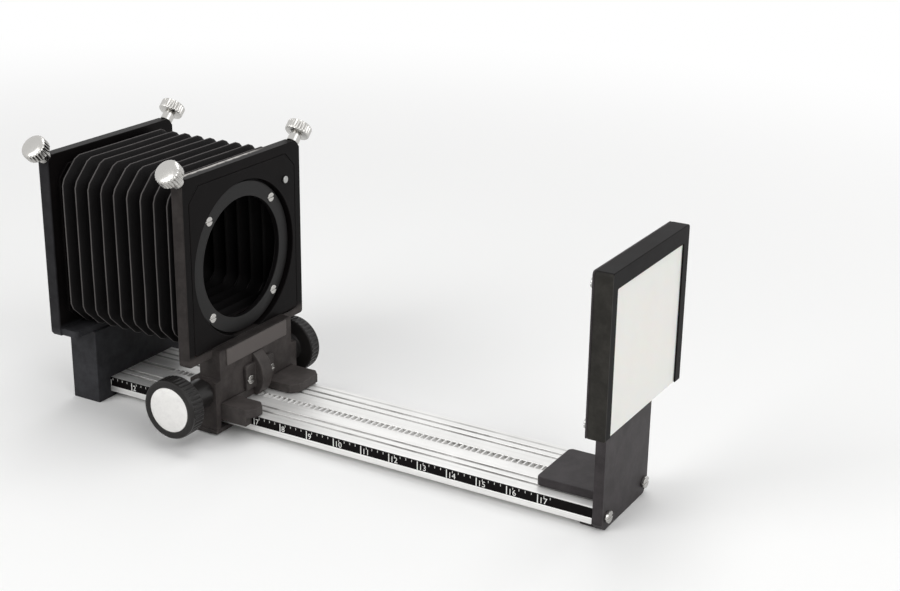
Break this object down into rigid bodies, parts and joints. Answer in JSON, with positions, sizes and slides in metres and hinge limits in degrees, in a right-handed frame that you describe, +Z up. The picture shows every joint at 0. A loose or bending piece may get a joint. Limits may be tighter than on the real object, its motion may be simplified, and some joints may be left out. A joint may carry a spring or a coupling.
{
  "type": "macro bellows unit",
  "caption": "Macro bellows on a geared rail: square standards joined by a pleated bellows, with knurled focus knobs, corner thumbscrews and a slide copier with an opal diffuser.",
  "frame": {"origin": "centre of the rear (camera side) bore in the outer face of its flange ring", "axes": "+X along the optical axis from the camera towards the slide copier, +Z up, +Y to the side away from the scale"},
  "size_m": [0.2495, 0.0949, 0.1161],
  "materials": {
    "black_paint": "satin stove enamel",
    "ring_black": "semi-gloss black",
    "bright_aluminium": "satin, drawn lengthwise",
    "rack_metal": "milled",
    "scale_black": "black with pale marks",
    "label_metal": "bare, semi-matt",
    "chrome": "polished",
    "screw_steel": "zinc plated",
    "brass": "turned",
    "knob_black": "black anodised, knurled",
    "knob_disc": "satin",
    "bellows_cloth": "coated cloth",
    "opal": "opal"
  },
  "bodies": {
    "root": {"rail": "bright_aluminium", "rail_rack": "rack_metal", "scale_strip": "scale_black", "tripod_bush": "screw_steel", "rear_standard": "black_paint", "rear_leg_screws": "screw_steel", "camera_board": "black_paint", "camera_flange_ring": "ring_black", "camera_ring_screws": "chrome", "bellows": "bellows_cloth", "bellows_rear_frame": "black_paint", "copier_bracket": "black_paint", "rail_end_screws": "chrome", "slide_frame": "black_paint", "slide_frame_screws": "screw_steel", "opal_diffuser": "opal", "slide_springs": "screw_steel"},
    "front_standard": {"front_standard": "black_paint", "saddle": "black_paint", "saddle_screws": "screw_steel", "rail_jaw_near": "black_paint", "rail_jaw_far": "black_paint", "jaw_screws": "screw_steel", "gear_cover": "black_paint", "gear_cover_screws": "chrome", "label_plate": "label_metal", "shaft_bushes": "ring_black", "lens_board": "black_paint", "lens_flange_ring": "ring_black", "lens_ring_screws": "chrome", "lens_board_pin": "chrome", "bellows_front_frame": "black_paint"},
    "focus_drive": {"pinion_shaft": "screw_steel", "pinion_gear": "brass", "focus_knob_near": "knob_black", "focus_knob_far": "knob_black", "knob_face_near": "knob_disc", "knob_face_far": "knob_disc", "knob_grub_screws": "screw_steel"},
    "rear_thumbscrew_near": {"rear_thumbscrew_near": "chrome"},
    "rear_thumbscrew_far": {"rear_thumbscrew_far": "chrome"},
    "front_thumbscrew_near": {"front_thumbscrew_near": "chrome"},
    "front_thumbscrew_far": {"front_thumbscrew_far": "chrome"}
  },
  "joints": [
    {"name": "front_slide", "type": "slide", "parent": "root", "child": "front_standard", "axis": [1, 0, 0], "range_m": [-0.022, 0.05], "deforming": ["bellows"]},
    {"name": "focus_turn", "type": "hinge", "parent": "front_standard", "child": "focus_drive", "pos_m": [0.0677, 0, -0.0492], "axis": [0, 1, 0], "range_deg": [-132, 299]},
    {"name": "rear_thumbscrew_near_turn", "type": "hinge", "parent": "root", "child": "rear_thumbscrew_near", "pos_m": [0.0007, -0.0365, 0.0392], "axis": [0, -0.7071, 0.7071], "range_deg": [0, 720]},
    {"name": "rear_thumbscrew_far_turn", "type": "hinge", "parent": "root", "child": "rear_thumbscrew_far", "pos_m": [0.0007, 0.0365, 0.0392], "axis": [0, 0.7071, 0.7071], "range_deg": [0, 720]},
    {"name": "front_thumbscrew_near_turn", "type": "hinge", "parent": "front_standard", "child": "front_thumbscrew_near", "pos_m": [0.0677, -0.0365, 0.0392], "axis": [0, -0.7071, 0.7071], "range_deg": [0, 720]},
    {"name": "front_thumbscrew_far_turn", "type": "hinge", "parent": "front_standard", "child": "front_thumbscrew_far", "pos_m": [0.0677, 0.0365, 0.0392], "axis": [0, 0.7071, 0.7071], "range_deg": [0, 720]}
  ],
  "couplings": [
    {"joint": "focus_turn", "follows": "front_slide", "rad_per_m": 104.17}
  ]
}
